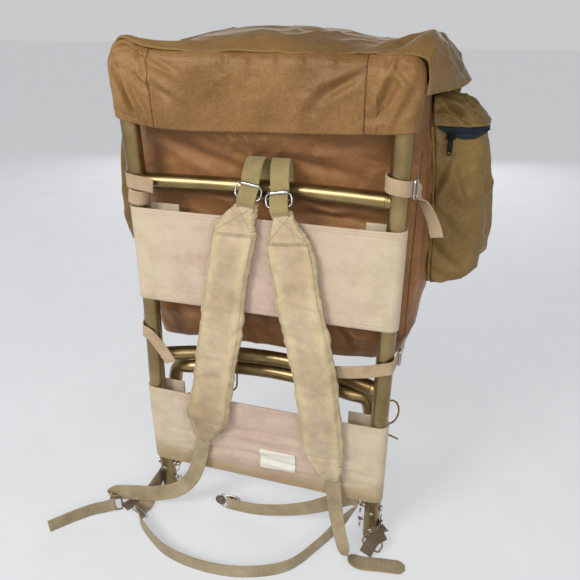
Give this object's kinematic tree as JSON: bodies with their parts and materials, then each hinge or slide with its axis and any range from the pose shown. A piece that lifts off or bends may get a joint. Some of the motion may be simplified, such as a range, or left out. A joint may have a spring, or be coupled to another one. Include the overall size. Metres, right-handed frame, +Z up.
{
  "type": "external-frame backpack",
  "caption": "External-frame backpack: bent tube frame with wide back bands, padded shoulder straps, waist belt and a cloth bag with lid and zipped side pockets.",
  "frame": {"origin": "front of the lower back band on the centre line, where the pack lies on the wearer", "axes": "+Z up along the frame, +X to the right as seen from the shoulder straps, +Y from the straps to the bag"},
  "size_m": [0.614, 0.3731, 0.749],
  "materials": {
    "bronze_tube": "bronze anodised, satin",
    "steel": "plated, worn",
    "plastic": "matte",
    "nylon": "coated plain-weave nylon",
    "band_cloth": "stiff ribbed cloth",
    "pad_cloth": "quilted nylon over foam",
    "webbing": "woven webbing",
    "dark_webbing": "woven webbing",
    "tie": "woven tape",
    "zip": "zip tape",
    "patch": "plain woven patch",
    "cord": "braided cord"
  },
  "bodies": {
    "pack": {"upright_left": "bronze_tube", "upright_right": "bronze_tube", "foot_plug_left": "plastic", "foot_plug_right": "plastic", "crossbar_upper": "bronze_tube", "crossbar_lower": "bronze_tube", "load_hoop": "bronze_tube", "clevis_pin_upper_left": "steel", "clevis_pin_lower_left": "steel", "clevis_pin_upper_right": "steel", "clevis_pin_lower_right": "steel", "split_ring_upper_left": "steel", "split_ring_lower_left": "steel", "split_ring_upper_right": "steel", "split_ring_lower_right": "steel", "back_band_upper": "band_cloth", "back_band_lower": "band_cloth", "blank_patch": "patch", "band_lacing": "cord", "lace_end": "cord", "bag_body": "nylon", "bag_yoke": "nylon", "bag_lid": "nylon", "side_pocket_left": "nylon", "side_pocket_right": "nylon", "pocket_flap_left": "nylon", "pocket_flap_right": "nylon", "pocket_zip_left": "zip", "pocket_zip_right": "zip", "zip_slider_left": "plastic", "zip_slider_right": "plastic", "shoulder_pad_left": "pad_cloth", "shoulder_pad_right": "pad_cloth", "upper_webbing_left": "webbing", "upper_webbing_right": "webbing", "upper_buckle_left": "steel", "upper_buckle_right": "steel", "lower_webbing_left": "webbing", "lower_webbing_right": "webbing", "anchor_webbing_left": "dark_webbing", "anchor_webbing_right": "dark_webbing", "lower_buckle_left": "steel", "lower_buckle_right": "steel", "belt_long": "webbing", "belt_short": "webbing", "belt_buckle_frame": "steel", "belt_keeper": "steel", "tie_upper_left": "tie", "tie_upper_right": "tie", "tie_lower_left": "tie", "tie_lower_right": "tie", "tie_buckle_upper_left": "steel", "tie_buckle_upper_right": "steel", "tie_buckle_lower_left": "steel", "tie_buckle_lower_right": "steel"},
    "buckle_plate": {"belt_buckle_plate": "steel"},
    "pull_left": {"zip_pull_left": "plastic"},
    "pull_right": {"zip_pull_right": "plastic"}
  },
  "joints": [
    {"name": "buckle_plate_swing", "type": "hinge", "parent": "pack", "child": "buckle_plate", "pos_m": [-0.074, 0.0033, -0.1435], "axis": [0, 0, 1], "range_deg": [-60, 60]},
    {"name": "pull_left_swing", "type": "hinge", "parent": "pack", "child": "pull_left", "pos_m": [-0.22134, 0.0908, 0.467], "axis": [-1, 0, 0], "range_deg": [0, 100]},
    {"name": "pull_right_swing", "type": "hinge", "parent": "pack", "child": "pull_right", "pos_m": [0.23003, 0.0908, 0.467], "axis": [-1, 0, 0], "range_deg": [0, 100]}
  ]
}
